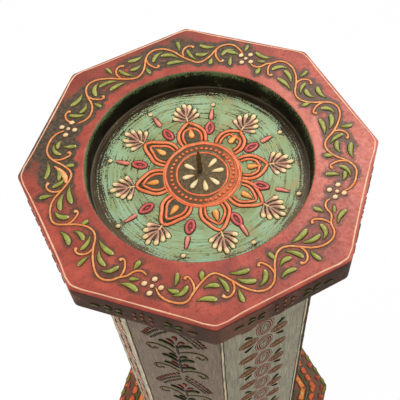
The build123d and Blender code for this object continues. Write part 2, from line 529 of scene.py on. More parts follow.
rings = [ring(9.5, 0.42), ring(13.75, 0.5), ring(14.35, 0.36, 0.28)]
ring_beads, petals, ambers, grounds = [], [], [], []
for step in range(RING_BEADS):
    turn = 2 * pi * step / RING_BEADS
    x = RING_X + 11.6 * cos(turn) + shake(0.15)
    ring_beads.append(bead(x, RING_Y + 11.6 * sin(turn) + shake(0.15), 0.66))
for angle, tip in PETALS:
    for side in (-1, 1):
        outer = [(4.4, 13.9), (5.15, 16.6), (5.0, 18.9), (3.7, 21.3), (1.5, tip - 1.0), (0, tip)]
        inner = [(3.0, 14.6), (3.55, 16.8), (3.3, 18.7), (2.2, 20.5), (0.8, tip - 3.2), (0, tip - 2.5)]
        for points, half in ((outer, 0.68), (inner, 0.52)):
            path = [(x * side, y + shake(0.15)) for x, y in points]
            petals.append(turned(line(path, half, 0.8, 0.8), angle))
    ambers.append(turned(drop((0, 16.6), (0.2 * side, 21.4), 1.25, 0.15), angle))
    if 60 < angle % 360 < 240:
        grounds.append(turned([(0, 14.6, 3.4), (0, 17.0, 4.6), (0, 19.4, 3.9), (0, tip - 1.2, 0.8)], angle))
centre_drops = [turned(drop((0, 7.9), (0, 3.0), 1.02), angle) for angle in CENTRE_DROPS]
print(len(petals), "petal threads,", len(ring_beads), "ring beads")

# %% [markdown]
# At the tip of each petal stands a small fan of seven drops, pale at the ends and mauve at the root. Between
# the petals a ruby eye, a pink drop and a cream dot lead out to the rim.

# %% Fans, eyes, drops and dots
fans, eyes, pupils, pink_drops, cream_dots = [], [], [], [], []
FAN = (  # root, end and half width of each drop on one side
    (0, 28.3, 0, 34.2, 0.95), (0.2, 27.6, 2.6, 32.7, 0.92),
    (0.3, 26.4, 4.3, 30.5, 0.92), (0.4, 25.3, 5.1, 27.9, 0.9),
)
FAN_WIDTHS = (0.35, 0.95, 0.92, 0.46, 0.3)
EYE_OUTLINE = (
    (0, -2.5), (0.9, -1.6), (1.2, -0.1), (0.85, 1.5), (0, 2.5), (-0.85, 1.5), (-1.2, -0.1), (-0.9, -1.6),
)
for angle, tip in PETALS:
    push = tip - TIP
    for x0, y0, x1, y1, half in FAN:
        for side in ((1,) if x0 == 0 else (-1, 1)):
            out = (x1 * side + shake(0.25), y1 + push + shake(0.3))
            half *= shaken.uniform(0.92, 1.08)
            fans.append(turned(drop(out, (x0 * side, y0 + push), half, 0.35 * side, FAN_WIDTHS), angle))
    fans.append(turned([(0, 24.9 + push, 0.3), (0, 27.0 + push, 0.36), (0, 29.4 + push, 0.3)], angle))
    ground = ((25.2, 0.6), (27.6, 2.2), (29.6, 2.3), (31.4, 1.2))
    grounds.append(turned([(0, y + push, half) for y, half in ground], angle))
for angle, eye, out, dot in BETWEEN:
    eyes.append(turned([(x + shake(0.1), eye + y, 0.64) for x, y in EYE_OUTLINE], angle))
    ground = ((-1.8, 0.4), (-0.8, 0.9), (0.6, 0.9), (1.8, 0.4))
    grounds.append(turned([(0, eye + y, half) for y, half in ground], angle))
    pupils.append(turned([(0, eye - 0.95, 0.25), (0, eye - 0.3, 0.42), (0, eye + 0.7, 0.2)], angle))
    end = (shake(0.3), out + 2.6)
    pink_drops.append(turned(lobe((0, out - 2.7), end, shaken.uniform(0.75, 1.0), 0.1), angle))
    x, y, half = turned([(0, dot, 0.95)], angle)[0]
    cream_dots.append(bead(x, y, half))
print(len(fans), "fan drops")

# %% [markdown]
# ## The top board
#
# The board is made again here as one fine mesh, because its paint needs somewhere to store how close each
# spot is to the ornament: the painter filled the ground round the strokes with a dark wash, and wiped it
# back. The mesh starts as a small circle in the middle of the dish and is extruded outwards edge by edge:
# over the floor, up the wall, across the border where the circle becomes an octagon, and down and under.

# %% Rings of the board
ROUND = 512


def octagon_radius(angle, reach, rounding):
    """Distance from the middle to a side of an octagon with rounded corners, in one direction."""
    flat = reach * tan(radians(HALF_STEP)) - rounding * tan(radians(HALF_STEP))
    off = radians((angle + HALF_STEP) % STEP - HALF_STEP)
    if abs(tan(off)) * reach <= flat:
        return reach / cos(off)
    middle = (reach - rounding) / cos(radians(HALF_STEP))
    swing = radians(HALF_STEP) - abs(off)
    return middle * cos(swing) + (rounding ** 2 - (middle * sin(swing)) ** 2) ** 0.5


def quarter_arc(steps):
    """(1 - cos, sin) at even steps round a quarter of a circle."""
    turns = [pi / 2 * step / steps for step in range(1, steps + 1)]
    return [(1 - cos(turn), sin(turn)) for turn in turns]


# One ring of the board is (radius, inset, share, height): a circle at share 0, the inset octagon at share 1.
CENTRE = 0.4
wall_top = PLATE_TOP - DISH_LIP
wall_height = wall_top - DISH_FLOOR
edge_height = PLATE_TOP - PLATE_BOTTOM - 2 * ARRIS
widening = DISH_RIM_RADIUS - DISH_FLOOR_RADIUS
stations = [(CENTRE + (DISH_FLOOR_RADIUS - CENTRE) * step / 58, 0, 0, DISH_FLOOR) for step in range(59)]
stations += [
    (DISH_FLOOR_RADIUS + widening * step / 8, 0, 0, DISH_FLOOR + wall_height * step / 8)
    for step in range(1, 9)
]
stations += [(DISH_RIM_RADIUS + DISH_LIP * out, 0, 0, wall_top + DISH_LIP * up) for out, up in quarter_arc(4)]
stations += [(DISH_RIM_RADIUS + DISH_LIP, ARRIS, step / 40, PLATE_TOP) for step in range(1, 41)]
stations += [(0, ARRIS * (1 - out), 1, PLATE_TOP - ARRIS * down) for down, out in quarter_arc(4)]
stations += [(0, 0, 1, PLATE_TOP - ARRIS - edge_height * step / 16) for step in range(1, 17)]
stations += [(0, ARRIS * inward, 1, PLATE_BOTTOM + ARRIS * (1 - down)) for inward, down in quarter_arc(3)]
stations += [(4, ARRIS, share, PLATE_BOTTOM) for share in (0.8, 0.4, 0.0)]
print(len(stations), "rings of", ROUND)

# %% [markdown]
# Each ring of points is grown from the one before by extruding its open edge, and is then moved to its place.
# Extruding keeps all the points in line from the middle outwards, which suits paint that was brushed round.

# %% The board's mesh
def lay_ring(verts, place):
    """Moves one ring of points to a station. Each point keeps its direction from the middle."""
    radius, inset, share, height = place
    for vertex in verts:
        turn = atan2(vertex.co.y, vertex.co.x)
        edge = octagon_radius(degrees(turn), PLATE_REACH - inset, max(CORNER_ROUNDING - inset, 0.5))
        away = radius + (edge - radius) * share
        vertex.co = (away * cos(turn), away * sin(turn), height)


board = bmesh.new()
bmesh.ops.create_circle(board, cap_ends=True, cap_tris=True, segments=ROUND, radius=stations[0][0])
lay_ring([vertex for vertex in board.verts if vertex.is_boundary], stations[0])
for vertex in board.verts:
    vertex.co.z = stations[0][3]
rim = [edge for edge in board.edges if edge.is_boundary]
for place in stations[1:]:
    grown = bmesh.ops.extrude_edge_only(board, edges=rim)["geom"]
    lay_ring([item for item in grown if isinstance(item, bmesh.types.BMVert)], place)
    rim = [item for item in grown if isinstance(item, bmesh.types.BMEdge) and item.is_boundary]
bmesh.ops.holes_fill(board, edges=rim, sides=0)
bmesh.ops.recalc_face_normals(board, faces=board.faces)
open_edges = sum(1 for edge in board.edges if not edge.is_manifold)
print(len(board.faces), "faces,", open_edges, "open edges")

# %% [markdown]
# The wash is stored as a point attribute called `ink`, from 0 on clean ground to 1 beside a stroke. A k-d
# tree answers the question "how far is the nearest stroke" quickly for tens of thousands of points.

# %% How close the ornament is
INK_REACH = 2.0


def sprinkle(strokes, height):
    """Points along strokes, close together, for measuring distance."""
    points = []
    for stroke in strokes:
        for (x0, y0, w0), (x1, y1, w1) in zip(stroke, stroke[1:]):
            steps = max(1, int(((x1 - x0) ** 2 + (y1 - y0) ** 2) ** 0.5 / 0.4))
            for step in range(steps + 1):
                share = step / steps
                place = (x0 + (x1 - x0) * share, y0 + (y1 - y0) * share, height)
                points.append((place, w0 + (w1 - w0) * share))
    return points


def measure(shape, points, name, reach):
    """Writes closeness to the nearest of some points on every vertex of a shape that is in millimetres."""
    tree = kdtree.KDTree(len(points))
    for number, (place, half) in enumerate(points):
        tree.insert(place, number)
    tree.balance()
    layer = shape.verts.layers.float.new(name)
    for vertex in shape.verts:
        place, number, distance = tree.find(vertex.co)
        gap = max(0.0, distance - points[number][1])
        vertex[layer] = exp(-((gap / reach) ** 2))


on_rim = sprinkle(stems + leaves + berries, PLATE_TOP)
on_floor = sprinkle(fans + eyes + pink_drops + cream_dots + grounds + ring_beads + petals, DISH_FLOOR)
measure(board, on_rim + on_floor, "ink", INK_REACH)
bmesh.ops.scale(board, vec=(MM, MM, MM), verts=board.verts)
print("measured against", len(on_rim), "and", len(on_floor), "points")

# %% [markdown]
# ## The paint of the top board
#
# The board is painted red over a charcoal undercoat, which shows in cloudy patches where the red was wiped
# thin. Three noises of different size do most of the work: clouds, grain and specks. Angles here are in
# radians round the board from x, and distances in metres.

# %% Red of the rim
paint = Wiring("plate paint", 0.42)
fade, mix = paint.fade, paint.mix
radius, turn = paint.radius()
ink = paint.attribute("ink")
cloud = paint.noise(9, 5)
grain = paint.noise(1.1, 6)
speck = paint.noise(0.55, 3)

red = mix(fade(cloud, 0.35, 0.65), (160, 66, 50), (188, 84, 66))
red = mix(fade(grain, 0.52, 0.72) * 0.55, red, (122, 50, 38))
blotch = paint.noise(17, 6, roughness=0.62)
red = mix(fade(blotch, 0.47, 0.66) * 0.5, red, (124, 58, 46))
hair = paint.noise(1.3, 6, stretch=(0.22, 1, 1), roughness=0.65)
red = mix(fade(hair, 0.53, 0.68) * 0.4, red, (116, 62, 46))
# Painted sheen: a lighter salmon is mixed into the red on the right of the border, over its inner band and
# low right, as a painted reflection of the light from that side.
painted_sheen_side = fade(abs(turn + 0.2), 1.4, 0.1)
painted_sheen_side *= fade(paint.noise(5, 5), 0.3, 0.6, 0.45, 0.85)
low_right = fade(paint.x - paint.y, 0.055, 0.08, 0.1, 0.75)
painted_sheen_side *= paint.maths("MAXIMUM", fade(radius, 0.05, 0.046), low_right)
red = mix(painted_sheen_side, red, (216, 122, 102))
dirty_side = fade(abs(turn - 1.75), 1.6, 0.2) * fade(radius, 0.052, 0.057)
red = mix(dirty_side * 0.5, red, (110, 52, 40))
print("the red is wiped thin in blotches, hairs and along the outside")

# %% [markdown]
# The dark wash lies close about the strokes, and is left thickest on the corner and the side that were wiped
# least. It is charcoal there and browner where the red shows through it.

# %% Wash on the rim
charcoal = mix(fade(grain, 0.35, 0.7), (60, 50, 36), (102, 80, 58))
patch = paint.noise(7, 4)
corner_shade = fade(abs(turn - 2.43), 0.62, 0.1) * 0.75
top_shade = fade(abs(turn - 1.2), 0.75, 0.1) * 0.34
side_shade = fade(abs(turn), 1.0, 0.2) * 0.12
shade = corner_shade + top_shade + side_shade
amount = ink * 0.62 + shade * fade(radius, 0.0445, 0.049)
amount += ink * shade * 0.7 - 0.03 + (patch - 0.5) * 1.3 + (speck - 0.5) * 0.6
brown = mix(0.55, charcoal, (112, 58, 42))
wash_tone = mix(fade(shade, 0.02, 0.25), brown, charcoal)
rim_colour = mix(fade(amount, 0.32, 0.7), red, wash_tone)
print("wash is charcoal where it is thick")

# %% [markdown]
# The dish is painted nearly black, and a green is brushed over its floor with a stiff brush that went round
# and round, so the green breaks into arcs before it reaches the wall. The arcs are a noise that is read by
# distance from the middle and hardly changes along the way round.

# %% Green of the dish floor
ARCS_ACROSS = 1500  # streaks in a metre outwards
ARCS_ROUND = 2.8  # and how fast they change on the way round
wide_x = paint.maths("COSINE", turn) * ARCS_ROUND
wide_y = paint.maths("SINE", turn) * ARCS_ROUND
arcs = paint.add("ShaderNodeCombineXYZ", X=radius * ARCS_ACROSS, Y=wide_x, Z=wide_y).outputs[0]
streak = paint.noise(1 / MM, 5, roughness=0.62, place=arcs)
green = mix(fade(cloud, 0.35, 0.65), (152, 168, 116), (162, 188, 146))
scratch = fade(streak + (grain - 0.5) * 0.4, 0.36, 0.47)
green = mix(scratch, (118, 116, 76), green)
stain = fade(radius, 0.031, 0.02) * fade(paint.noise(6, 4), 0.42, 0.62, 0.15, 0.7)
green = mix(stain, green, (122, 124, 78))
teal_side = fade(paint.x + paint.y, 0.02, -0.045, 0.25, 0.85)
teal = fade(streak, 0.52, 0.6) * teal_side * fade(radius, 0.024, 0.03)
green = mix(teal, green, (160, 196, 168))
tawny = fade(paint.noise(5, 5), 0.5, 0.68) * fade(paint.x, -0.03, 0.035, 0.35, 0.8)
green = mix(tawny, green, (172, 160, 108))
dark = mix(fade(streak, 0.4, 0.7), (44, 35, 22), (92, 74, 52))
dark = mix(fade(paint.y + paint.x * 0.3, 0.02, -0.04, 0.0, 0.7), dark, (126, 108, 82))
low_reach = fade(paint.y, 0.0, -0.035, 0.0, 0.2)
cover = fade(radius, 0.033, DISH_FLOOR_RADIUS * MM, 0.84, 0.1) + low_reach
cover += streak * 1.5 - 0.75 - ink * 0.26 + (speck - 0.5) * 1.3
floor_colour = mix(fade(cover, 0.44, 0.56), dark, green)
print("green covers the floor up to about 33 mm from the middle")

# %% [markdown]
# Inside the ring of beads the ground is a muddy gold, and between the beads and the petals the orange of the
# ring was dragged across it. The wall of the dish keeps its black, with a little green scraped on near the
# lip, and a thin grey line where the wall meets the floor is a painted glint on the wall's rounded foot.

# %% Middle and wall of the dish
flower_x = paint.x - FLOWER_X * MM
flower_y = paint.y - FLOWER_Y * MM
flower = paint.maths("SQRT", flower_x * flower_x + flower_y * flower_y)
centre = mix(fade(grain, 0.35, 0.7), (84, 70, 46), (122, 102, 70))
floor_colour = mix(fade(flower, 0.0101, 0.0097), floor_colour, centre)
between = fade(flower, 0.0099, 0.0103) * fade(flower, 0.0148, 0.0142)
low_side = fade(flower_y - flower_x, 0.006, -0.014)
brushed = fade(low_side * 0.24 + streak, 0.6, 0.78)
ring_ground = mix(brushed, (104, 79, 52), (212, 110, 67))
floor_colour = mix(between, floor_colour, ring_ground)
wall_rise = fade(paint.z, (DISH_FLOOR + 4) * MM, PLATE_TOP * MM)
back_side = fade(abs(turn - 1.95), 1.0, 0.2, 0.4, 0.6)
wall_green = wall_rise * back_side + streak + (speck - 0.5) * 1.3 + (cloud - 0.5) * 0.9
wall = mix(fade(streak, 0.4, 0.7), (20, 17, 9), (44, 37, 22))
wall = mix(fade(wall_green, 0.74, 0.96), wall, (104, 122, 80))
in_dish = fade(radius, (DISH_RIM_RADIUS + 0.5) * MM, (DISH_RIM_RADIUS + 0.2) * MM)
on_wall = fade(paint.z, (DISH_FLOOR + 0.1) * MM, (DISH_FLOOR + 0.4) * MM)
# Painted glint: a thin lighter line on the rounded foot of the wall, where it meets the floor.
painted_foot_glint = fade(radius, (DISH_FLOOR_RADIUS - 0.5) * MM, (DISH_FLOOR_RADIUS - 0.3) * MM)
painted_foot_glint *= fade(paint.z, (DISH_FLOOR + 0.55) * MM, (DISH_FLOOR + 0.3) * MM)
dish_colour = mix(on_wall, floor_colour, wall)
dish_colour = mix(painted_foot_glint * 0.6, dish_colour, (92, 84, 68))
print("wall is green near the lip")

# %% [markdown]
# The edge of the board is dark brown below a narrow red band, and duller than the rim. The three parts are
# joined by distance and height, and the board gets its paint.

# %% Edge, and the whole board
def at_height(first, last, low=0.0, high=1.0):
    """A step as the height goes from first to last, both in millimetres above the board's top."""
    return fade(paint.z, (PLATE_TOP + first) * MM, (PLATE_TOP + last) * MM, low, high)


edge = mix(fade(grain, 0.35, 0.7), (50, 28, 16), (78, 50, 32))
near_corner = fade(abs(turn + 1.82), 0.22, 0.05)
edge = mix(fade(cloud, 0.45, 0.75) + near_corner, edge, (104, 66, 46))
band = paint.z + (cloud - 0.5) * 0.002
edge_red = mix(0.92, red, (54, 12, 5))
edge_colour = mix(fade(band, (PLATE_TOP - 1.6) * MM, (PLATE_TOP - 0.9) * MM), edge, edge_red)
outer = mix(at_height(-0.35, -0.65), rim_colour, edge_colour)
colour = mix(in_dish, outer, dish_colour)
surface = grain * 0.55 + streak * 0.35
dull_edge = at_height(-0.7, -0.2, 0.1, 1.0)
sheen = (in_dish * -0.17 + 0.3) * paint.maths("MAXIMUM", in_dish, dull_edge)
plate_paint = paint.finish(colour, surface, 0.16, fade(grain, 0.3, 0.75, 0.34, 0.6), sheen)
board_piece = settle("plate_board", board, plate_paint)
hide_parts("top_plate")

# %% [markdown]
# ## The colours of the strokes
#
# Each stroke is one squeeze of colour, darker in the crease at its foot, where the wash collects and a
# painted shade stands in for the crease's shadow, and paler on its crown, where it was wiped and a painted
# highlight stands in for the light on it. Two attributes carry that: `rise` is 0 at the foot and 1 on the
# crown, and `along` runs from 0 at the stroke's fat end to 1 at its tip.

# %% Stroke paints
def stroke_paint(name, foot, body, crown, head=None, tail=None, roughness=0.38, specks=0.25, sheen=0.4):
    """A paint for raised strokes, shaded by their height and along their length."""
    made = Wiring(name, roughness, sheen)
    rise = made.attribute("rise")
    along = made.attribute("along")
    cloud = made.noise(2.4, 3)
    grain = made.noise(0.5, 4)
    lift = rise + (grain - 0.5) * 0.7
    # Wash and painted shade: the foot colour darkens the low sides of the stroke.
    colour = made.mix(made.fade(lift, 0.12, 0.5), foot, body)
    # Wear and a painted highlight: the crown colour lightens the top of the stroke.
    wear_and_highlight = lift + (cloud - 0.5) * 1.2
    colour = made.mix(made.fade(wear_and_highlight, 0.72, 1.1), colour, crown)
    if head:
        near = along + (cloud - 0.5) * 0.4
        near = made.fade(near, 0.26, 0.08) * made.fade(lift, 0.15, 0.5)
        colour = made.mix(near, colour, head)
    if tail:
        far = along + (cloud - 0.5) * 0.5
        far = made.fade(far, 0.42, 0.62) * made.fade(lift, 0.1, 0.45)
        colour = made.mix(far, colour, tail)
    dirt = made.fade(grain, 0.6, 0.78) * specks
    colour = made.mix(dirt, colour, foot)
    return made.finish(colour, grain, 0.06)


def wash_paint(name, deep, thin, sheen=0.3):
    """The dark wash that lies about the strokes."""
    made = Wiring(name, 0.55, sheen)
    return made.finish(made.mix(made.fade(made.noise(0.9, 4), 0.4, 0.7), deep, thin))


orange = stroke_paint("orange thread", (150, 76, 40), (228, 138, 70), (246, 184, 118))
peach = stroke_paint("peach line", (170, 90, 66), (234, 172, 136), (246, 204, 166))
leaf_green = stroke_paint("leaf green", (72, 66, 26), (130, 136, 46), (164, 164, 76), head=(214, 200, 124))
berry_cream = stroke_paint("berries", (140, 96, 62), (240, 200, 148), (250, 226, 180))
flower_orange = stroke_paint("flower orange", (140, 62, 34), (230, 108, 56), (244, 142, 90))
amber = stroke_paint("amber", (150, 74, 28), (232, 148, 62), (246, 186, 104))
fan_cream = stroke_paint("fan cream", (120, 90, 62), (240, 206, 142), (250, 226, 172), tail=(200, 142, 118))
ruby = stroke_paint("ruby", (110, 36, 32), (196, 74, 70), (226, 116, 104))
pink = stroke_paint("pink", (146, 64, 54), (226, 126, 106), (240, 156, 132))
pale_drop = stroke_paint("pale drop", (110, 82, 48), (240, 208, 144), (250, 232, 184))
print("stroke paints made")

# %% [markdown]
# Now the strokes go on. Beads and drops of paint stand up to 0.6 mm high, threads are lower, and the wash
# about them is a skin of 0.05 mm, made by laying the same strokes down once more, a little wider.

# %% Strokes on the board
WASH_HEIGHT = 0.05
rim_sheet = flat_at(PLATE_TOP)
dish_sheet = flat_at(DISH_FLOOR)
dark_wash = wash_paint("dark wash", (80, 52, 34), (122, 70, 50))
dish_wash = wash_paint("dish wash", (66, 58, 34), (96, 86, 54))

for name, strokes, sheet, colour, thickness, closed in (
    ("plate_border_line", [border], rim_sheet, peach, 0.24, True),
    ("plate_vine", stems, rim_sheet, orange, 0.34, False),
    ("plate_leaves", leaves, rim_sheet, leaf_green, 0.42, False),
    ("plate_berries", berries, rim_sheet, berry_cream, 0.55, False),
    ("floor_rings", rings, dish_sheet, flower_orange, 0.3, True),
    ("floor_beads", ring_beads, dish_sheet, flower_orange, 0.45, False),
    ("floor_petals", petals, dish_sheet, flower_orange, 0.32, False),
    ("floor_ambers", ambers, dish_sheet, amber, 0.6, False),
    ("floor_centre_drops", centre_drops, dish_sheet, pale_drop, 0.55, False),
    ("floor_fans", fans, dish_sheet, fan_cream, 0.42, False),
    ("floor_eyes", eyes, dish_sheet, ruby, 0.5, True),
    ("floor_pupils", pupils, dish_sheet, ruby, 0.5, False),
    ("floor_pink_drops", pink_drops, dish_sheet, pink, 0.6, False),
    ("floor_cream_dots", cream_dots, dish_sheet, pale_drop, 0.6, False),
):
    squeeze(name, [(strokes, sheet)], colour, thickness, closed=closed)

everything = fans + pink_drops + cream_dots + petals + ambers
for name, strokes, sheet, colour, closed in (
    ("plate_wash", wider(stems + leaves + berries, 0.22), rim_sheet, dark_wash, False),
    ("floor_wash", wider(everything, 0.26), dish_sheet, dish_wash, False),
    ("floor_eye_wash", wider(eyes, 0.3), dish_sheet, dish_wash, True),
    ("floor_petal_grounds", grounds, dish_sheet, dish_wash, False),
):
    squeeze(name, [(strokes, sheet)], colour, WASH_HEIGHT, sides=1, closed=closed)

# %% [markdown]
# ## The column, the foot and the iron
#
# The eight staves take turns between a taupe and a grey-green paint. Both were brushed up and down the
# column, so fine bristle marks run with its height. Just under the top board the paint is darkened with a
# painted shadow of the board.

# %% Column paints
def brushed_paint(name, dark, light, green):
    """Paint brushed up and down, darkened under the top board with a painted shadow."""
    made = Wiring(name, 0.42, 0.35)
    cloud = made.noise(16, 4)
    bristle = made.noise(0.7, 6, stretch=(1, 1, 0.07))
    grain = made.noise(0.8, 5)
    colour = made.mix(made.fade(bristle, 0.32, 0.68), dark, light)
    colour = made.mix(made.fade(cloud, 0.45, 0.75) * 0.6, colour, green)
    colour = made.mix(made.fade(grain, 0.6, 0.78) * 0.55, colour, (60, 52, 40))
    # Painted shadow: the top 42 mm of the stave are darkened up to halfway towards brown, as the top board
    # shades them.
    high = made.fade(made.z, (stave_high.z - 42) * MM, (stave_high.z - 4) * MM, 0.0, 0.5)
    colour = made.mix(high, colour, (86, 74, 54))
    surface = bristle * 0.7 + grain * 0.3
    return made.finish(colour, surface, 0.12, made.fade(grain, 0.3, 0.75, 0.42, 0.65))


taupe = brushed_paint("taupe column paint", (84, 65, 43), (119, 96, 68), (92, 78, 52))
grey_green = brushed_paint("grey green column paint", (112, 106, 78), (156, 148, 118), (124, 110, 80))
finishes = {f"stave_{number}": grey_green if number % 2 else taupe for number in range(1, FACES + 1)}
print(len(finishes), "staves painted")

# %% [markdown]
# The foot has the board's red, rubbed down to olive. The spike is iron wire with rust on it. What stands
# inside the column was never painted: bare blocks, plain steel screws, and felt pads under the foot.

# %% Foot, iron, felt
foot = Wiring("foot paint", 0.45)
grain = foot.noise(1.1, 6)
cloud = foot.noise(8, 5)
red = foot.mix(foot.fade(cloud, 0.35, 0.65), (88, 74, 46), (124, 66, 44))
red = foot.mix(foot.fade(grain, 0.48, 0.72), red, (76, 58, 34))
foot_paint = foot.finish(red, grain, 0.14)

iron = Wiring("rusty iron", 0.55)
iron.shader.inputs["Metallic"].default_value = 0.35
rust = iron.fade(iron.noise(0.8, 5), 0.5, 0.68)
spike_iron = iron.finish(iron.mix(rust, (92, 82, 54), (128, 84, 50)), iron.noise(0.4, 4), 0.05)


bare = Wiring("bare wood", 0.75)
year_rings = bare.noise(1.4, 5, stretch=(1, 1, 0.08))
wood = bare.mix(bare.fade(year_rings, 0.35, 0.65), (150, 112, 76), (190, 152, 108))
bare_wood = bare.finish(wood, year_rings)

steel = Wiring("screw steel", 0.32)
steel.shader.inputs["Metallic"].default_value = 1
grey = steel.mix(steel.noise(0.5, 4), (120, 120, 120), (170, 168, 164))
screw_steel = steel.finish(grey, steel.noise(0.3, 3), 0.02)

pile = Wiring("felt", 0.95)
pile.shader.inputs["Sheen Weight"].default_value = 0.4
wool = pile.mix(pile.fade(pile.noise(0.35, 5), 0.35, 0.65), (34, 46, 36), (58, 74, 58))
felt = pile.finish(wool, pile.noise(0.3, 5), 0.2)

finishes.update({f"foot_pad_{number}": felt for number in range(1, 5)})
finishes.update(spike=spike_iron, base_plate=foot_paint, top_block=bare_wood, bottom_block=bare_wood)
finishes.update(top_screws=screw_steel, base_screws=screw_steel)
for name, finish in finishes.items():
    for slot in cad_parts[name].material_slots:
        slot.material = finish
print("finishes on", len(finishes), "nodes")

# %% [markdown]
# ## The ornament on the column
#
# Even staves carry a stem with paired leaves and curls under a roof of dots, and odd staves carry a chain of
# ovals tied by knots. Both repeat down the column. On each sheet x runs across the stave and y is the height
# above or below the column's top, so depths are written as positive numbers and turned over at the end.

# %% One stem with leaves
TREE_PERIOD = 58
TREE_FIRST = 29.3  # depth of the first whole roof of dots
CHAIN_PERIOD = 17.4
CHAIN_FIRST = 1.9
TREE_RED_DROPS = (
    ((0.2, 12.9), (0.4, 17.6), 0.95), ((-3.1, 17.0), (-0.8, 22.0), 1.05, -0.3),
    ((3.9, 17.2), (1.2, 22.0), 1.0, 0.3), ((-3.5, 43.2), (-0.6, 47.4), 0.95, -0.3),
    ((3.8, 43.6), (1.5, 46.8), 0.95, 0.3),
)
UPPER_ARM = [(3.6, 28.9), (7.6, 26.6), (11.0, 26.9), (12.6, 29.6), (11.6, 32.2), (9.7, 32.3), (8.9, 30.6)]
LOWER_ARM = [(0.7, 55.8), (3.4, 52.2), (7.2, 50.4), (10.4, 51.0)]
LOWER_ARM += [(11.8, 53.8), (10.6, 56.4), (8.9, 56.2), (8.4, 54.2)]


def place_down(strokes, depth):
    """Turns strokes drawn with depth as y into heights, and keeps only those that are wholly on the stave."""
    placed = [[(x, -(depth + y), half) for x, y, half in stroke] for stroke in strokes]
    return [stroke for stroke in placed if all(-COLUMN_LENGTH + 2 < y < -1.2 for x, y, half in stroke)]


def dots(start, end, count, half, bow):
    """A row of short upright dots from start to end, bowed outwards."""
    row = []
    for step in range(count):
        share = step / (count - 1)
        x = start[0] + (end[0] - start[0]) * share + bow * 4 * share * (1 - share)
        y = start[1] + (end[1] - start[1]) * share
        row.append(lobe((x + shake(0.15), y - 0.9), (x + shake(0.15), y + 0.8), half))
    return row


def tree():
    """One period of the stem, in five lists: dots, rows, red drops, leaves and curls."""
    roof = dots((-1.8, 0.4), (-12.9, 17), 9, 0.72, -1.2) + dots((2.4, 2.2), (12.6, 17), 8, 0.72, 1.2)
    rows = dots((-1.6, 4.4), (-11.9, 18.6), 11, 0.5, -0.8) + dots((1.6, 5.2), (11.4, 18.9), 10, 0.5, 0.8)
    rows += dots((-1.0, 7.6), (-9.9, 19.8), 10, 0.42, -0.5) + dots((1.2, 8.0), (9.6, 19.9), 10, 0.42, 0.5)
    red_drops = [drop(*shape) for shape in TREE_RED_DROPS]
    leaf_set = []
    for side, reach in ((-1, 7.0), (1, 7.2)):
        lean = 0.3 if side > 0 else 0
        for x0, y0, x1, y1, half, bow in (
            (reach, 20.8, 0.7, 25.9 - lean, 1.3, 1.1), (3.7 + lean * side, 33.8, 0.6, 37.8, 1.05, 0.5),
            (reach, 37.1, 0.5, 42.2, 1.4, 1.1), (reach, 46.2, 0.5, 50.4, 1.3, 1.0),
        ):
            leaf_set.append(drop((side * x0, y0), (side * x1 + lean, y1), half, bow * side))
    stems_down = ([(0.5, 22.5), (0.4, 28), (0.6, 33.0)], [(0.5, 38.5), (0.4, 46), (0.6, 55.5)])
    curls = [line(path, 0.24) for path in stems_down]
    for side, first in ((-1, 33.4), (1, 31.2)):
        curls.append(line([(x * side, y) for x, y in [(0.9, first)] + UPPER_ARM], 0.46, 0.5, 1.6))
    for side in (-1, 1):
        curls.append(line([(x * side, y) for x, y in LOWER_ARM], 0.42, 0.5, 1.7))
    return roof, rows, red_drops, leaf_set, curls


# %% [markdown]
# A link of the chain is a tall oval of three salmon rings about an olive lens, tied to the next link by a
# knot with rust loops at its sides. A green stroke fills each gap.

# %% One link of the chain
def loop(x, y, wide, tall, half, points=12):
    """A closed oval, a little uneven."""
    turns = [2 * pi * step / points for step in range(points)]
    return [
        (x + (wide + shake(0.12)) * cos(turn), y + (tall + shake(0.12)) * sin(turn), half) for turn in turns
    ]


def link(number):
    """One link below a knot, in four lists: ovals, lenses, side loops and green strokes."""
    middle = CHAIN_PERIOD / 2
    ovals = [loop(0, middle, 3.8, 7.3, 0.3), loop(0, middle + 0.2, 2.9, 6.3, 0.28)]
    ovals.append(loop(0, middle + 0.3, 1.9, 4.9, 0.26))
    lenses = [[(0, middle - 3.0, 0.35), (0, middle, 0.9), (0, middle + 3.0, 0.35)]]
    loops = []
    for side in (-1, 1) if number else ():  # the first knot is hidden under the board
        out = 7.0 if side > 0 else 7.6
        loops += [loop(out * side, 0, out - 3.3, 3.2, 0.27), loop(out * side, 0.1, out - 4.4, 2.1, 0.24, 10)]
        loops += [loop(out * side, 0.1, out - 5.6, 1.0, 0.22, 8)]
    greens = []
    for side in (-1, 1):
        x0, y0, x1, y1, bow = (9.2, 8.1, 5.6, 5.3, 0.2) if number % 2 else (9.0, 9.4, 5.8, 12.9, -0.2)
        greens.append(drop((x0 * side, y0 + shake(0.3)), (x1 * side, y1), 0.8, bow * side))
    return ovals, lenses, loops, greens


tree_size = sum(len(part) for part in tree())
print("a tree has", tree_size, "strokes and a link", sum(len(part) for part in link(0)))

# %% [markdown]
# The motifs are laid down each stave in turn. Every stave gets its own freshly shaken copy, so no two match.

# %% Ornament down the staves
tree_sheets = [[], [], [], [], []]
chain_sheets = [[], [], [], []]
for number in range(1, FACES + 1):
    sheet = upright_at(COLUMN_TURN + STEP * (number - 1), COLUMN_REACH, stave_high.z)
    for period in range(16) if number % 2 else range(-1, 5):
        if number % 2:
            targets, motif, depth = chain_sheets, link(period), CHAIN_FIRST + CHAIN_PERIOD * period
        else:
            targets, motif, depth = tree_sheets, tree(), TREE_FIRST + TREE_PERIOD * period
        for target, strokes in zip(targets, motif):
            target.append((place_down(strokes, depth), sheet))
print("trees and chains laid")

# %% [markdown]
# The colours of the column are earthy and dull. Its wash is nearly black and a good deal wider than the
# strokes, and nothing on the column has the shine that the flower in the dish has.

# %% Column strokes
def dull_paint(name, foot, body, crown, roughness=0.5):
    return stroke_paint(name, foot, body, crown, roughness=roughness, sheen=0.06)


